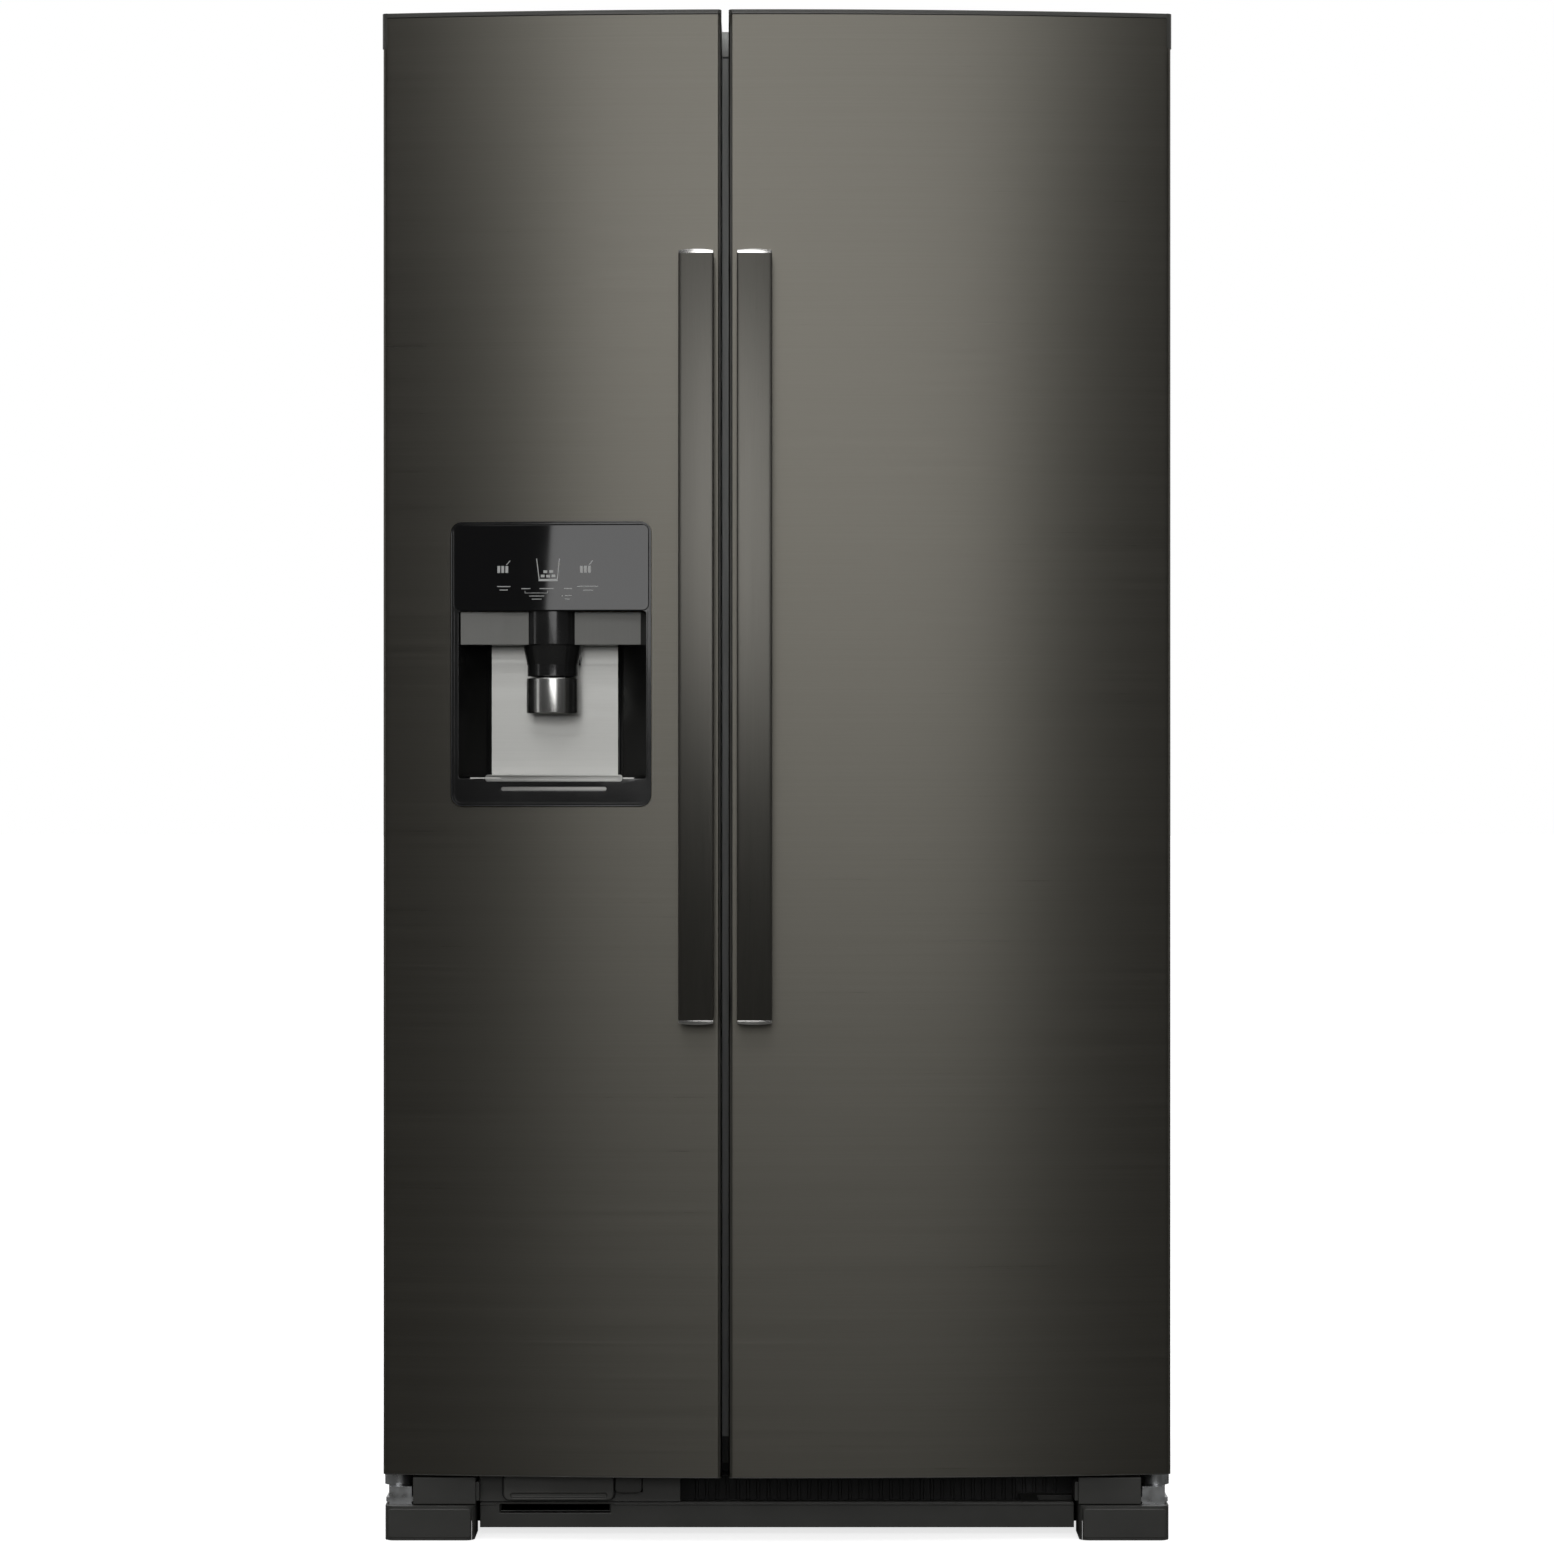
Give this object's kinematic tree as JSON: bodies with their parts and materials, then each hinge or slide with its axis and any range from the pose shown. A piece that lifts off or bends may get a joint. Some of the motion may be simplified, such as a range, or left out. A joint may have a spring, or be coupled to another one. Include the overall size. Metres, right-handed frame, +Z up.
{
  "type": "side by side refrigerator",
  "caption": "Side by side refrigerator with two bowed stainless doors, long vertical bar handles and an ice and water dispenser recessed in the left door.",
  "frame": {"origin": "on the floor, midway between the sides and midway between the handles' front and the back panel", "axes": "+X to the right seen from the front, +Y to the back, +Z up"},
  "size_m": [0.909, 0.86, 1.766],
  "materials": {
    "cabinet_paint": "satin",
    "galvanised_steel": "matte",
    "foam": "matte",
    "liner_plastic": "satin",
    "mullion_steel": "satin",
    "base_steel": "satin",
    "base_grey_plastic": "matte",
    "black_plastic": "matte",
    "compressor_paint": "gloss",
    "pan_plastic": "matte",
    "evaporator_aluminium": "satin",
    "hinge_steel": "satin",
    "dark_plastic": "satin",
    "valve_plastic": "satin",
    "shelf_plastic": "satin",
    "shelf_glass": "gloss",
    "motor_steel": "satin",
    "screw_steel": "satin",
    "roller_plastic": "satin",
    "clear_plastic": "gloss",
    "filter_plastic": "satin",
    "door_steel": "satin",
    "cap_plastic": "satin",
    "gasket_rubber": "matte",
    "handle_steel": "satin",
    "handle_chrome": "polished",
    "dispenser_plastic": "satin",
    "panel_gloss": "gloss",
    "dispenser_dark": "satin",
    "tray_steel": "satin",
    "paddle_chrome": "satin"
  },
  "bodies": {
    "cabinet": {"cabinet_wrapper": "cabinet_paint", "rear_panel": "galvanised_steel", "foam_insulation": "foam", "freezer_liner": "liner_plastic", "fridge_liner": "liner_plastic", "mullion_cover": "mullion_steel", "base_frame": "base_steel", "filter_housing": "base_grey_plastic", "machine_cover": "black_plastic", "compressor": "compressor_paint", "condenser": "compressor_paint", "drain_pan": "pan_plastic", "evaporator": "evaporator_aluminium", "air_covers": "liner_plastic", "door_hinges": "hinge_steel", "hinge_covers": "dark_plastic", "leg_covers": "dark_plastic", "levelling_legs": "hinge_steel", "water_valve": "valve_plastic", "cord_inlet": "black_plastic", "shelves": "shelf_plastic", "shelf_glass": "shelf_glass", "ice_maker": "shelf_plastic", "fan_motors": "motor_steel", "screws": "screw_steel"},
    "condenser_fan_wheel": {"condenser_fan": "black_plastic"},
    "evaporator_fan_wheel": {"evaporator_fan": "shelf_plastic"},
    "front_wheels": {"front_rollers": "roller_plastic"},
    "rear_wheels": {"rear_rollers": "roller_plastic"},
    "upper_drawer": {"crisper_upper": "clear_plastic"},
    "lower_drawer": {"crisper_lower": "clear_plastic"},
    "freezer_drawer": {"freezer_basket": "shelf_plastic"},
    "ice_bucket": {"ice_bin": "clear_plastic"},
    "ice_screw": {"ice_auger": "screw_steel"},
    "ice_arm": {"shutoff_arm": "screw_steel"},
    "filter_cartridge": {"water_filter": "filter_plastic"},
    "filter_release": {"filter_button": "dark_plastic"},
    "freezer_door": {"freezer_door_skin": "door_steel", "freezer_door_caps": "cap_plastic", "freezer_door_foam": "foam", "freezer_door_liner": "liner_plastic", "freezer_gasket": "gasket_rubber", "freezer_handle": "handle_steel", "freezer_handle_caps": "handle_chrome", "freezer_door_bins": "clear_plastic", "dispenser_housing": "dispenser_plastic", "dispenser_panel": "panel_gloss", "dispenser_spout": "dispenser_dark", "drip_tray": "tray_steel"},
    "paddle": {"dispenser_paddle": "paddle_chrome"},
    "flap": {"chute_flap": "dispenser_dark"},
    "fridge_door": {"fridge_door_skin": "door_steel", "fridge_door_caps": "cap_plastic", "fridge_door_foam": "foam", "fridge_door_liner": "liner_plastic", "fridge_gasket": "gasket_rubber", "fridge_handle": "handle_steel", "fridge_handle_caps": "handle_chrome", "fridge_door_bins": "clear_plastic"},
    "dairy_cover": {"dairy_lid": "clear_plastic"}
  },
  "joints": [
    {"name": "freezer_door_swing", "type": "hinge", "parent": "cabinet", "child": "freezer_door", "pos_m": [-0.4385, -0.31, 0.075], "axis": [0, 0, -1], "range_deg": [0, 115]},
    {"name": "fridge_door_swing", "type": "hinge", "parent": "cabinet", "child": "fridge_door", "pos_m": [0.4385, -0.31, 0.075], "axis": [0, 0, 1], "range_deg": [0, 115]},
    {"name": "condenser_fan_spin", "type": "hinge", "parent": "cabinet", "child": "condenser_fan_wheel", "pos_m": [-0.03, 0.315, 0.12], "axis": [1, 0, 0], "continuous": true},
    {"name": "evaporator_fan_spin", "type": "hinge", "parent": "cabinet", "child": "evaporator_fan_wheel", "pos_m": [-0.24, 0.314, 1.01], "axis": [0, 1, 0], "continuous": true},
    {"name": "front_rollers_spin", "type": "hinge", "parent": "cabinet", "child": "front_wheels", "pos_m": [0.4, -0.215, 0.022], "axis": [1, 0, 0], "continuous": true},
    {"name": "rear_rollers_spin", "type": "hinge", "parent": "cabinet", "child": "rear_wheels", "pos_m": [0.4, 0.385, 0.02], "axis": [1, 0, 0], "continuous": true},
    {"name": "upper_crisper_slide", "type": "slide", "parent": "cabinet", "child": "upper_drawer", "axis": [0, -1, 0], "range_m": [0, 0.095]},
    {"name": "lower_crisper_slide", "type": "slide", "parent": "cabinet", "child": "lower_drawer", "axis": [0, -1, 0], "range_m": [0, 0.095]},
    {"name": "freezer_basket_slide", "type": "slide", "parent": "cabinet", "child": "freezer_drawer", "axis": [0, -1, 0], "range_m": [0, 0.095]},
    {"name": "ice_bin_slide", "type": "slide", "parent": "cabinet", "child": "ice_bucket", "axis": [0, -1, 0], "range_m": [0, 0.06]},
    {"name": "ice_auger_spin", "type": "hinge", "parent": "ice_bucket", "child": "ice_screw", "pos_m": [-0.24, 0, 1.248], "axis": [0, 1, 0], "continuous": true},
    {"name": "ice_arm_swing", "type": "hinge", "parent": "cabinet", "child": "ice_arm", "pos_m": [-0.19, -0.06, 1.56], "axis": [1, 0, 0], "range_deg": [0, 45]},
    {"name": "filter_slide", "type": "slide", "parent": "cabinet", "child": "filter_cartridge", "axis": [0, -1, 0], "range_m": [0, 0.26]},
    {"name": "filter_button_press", "type": "slide", "parent": "cabinet", "child": "filter_release", "axis": [0, 1, 0], "range_m": [0, 0.004], "stiffness_N_per_m": 600, "springref_m": -0.003},
    {"name": "paddle_push", "type": "hinge", "parent": "freezer_door", "child": "paddle", "pos_m": [-0.259, -0.2915, 1.015], "axis": [1, 0, 0], "range_deg": [0, 6], "stiffness_Nm_per_rad": 0.6, "springref_deg": -20.05},
    {"name": "chute_flap_swing", "type": "hinge", "parent": "freezer_door", "child": "flap", "pos_m": [-0.259, -0.2925, 1.073], "axis": [1, 0, 0], "range_deg": [-40, 0]},
    {"name": "dairy_lid_lift", "type": "hinge", "parent": "fridge_door", "child": "dairy_cover", "pos_m": [0.155, -0.196, 1.664], "axis": [1, 0, 0], "range_deg": [0, 75]}
  ],
  "couplings": [
    {"joint": "chute_flap_swing", "follows": "paddle_push", "ratio": -6.5}
  ]
}
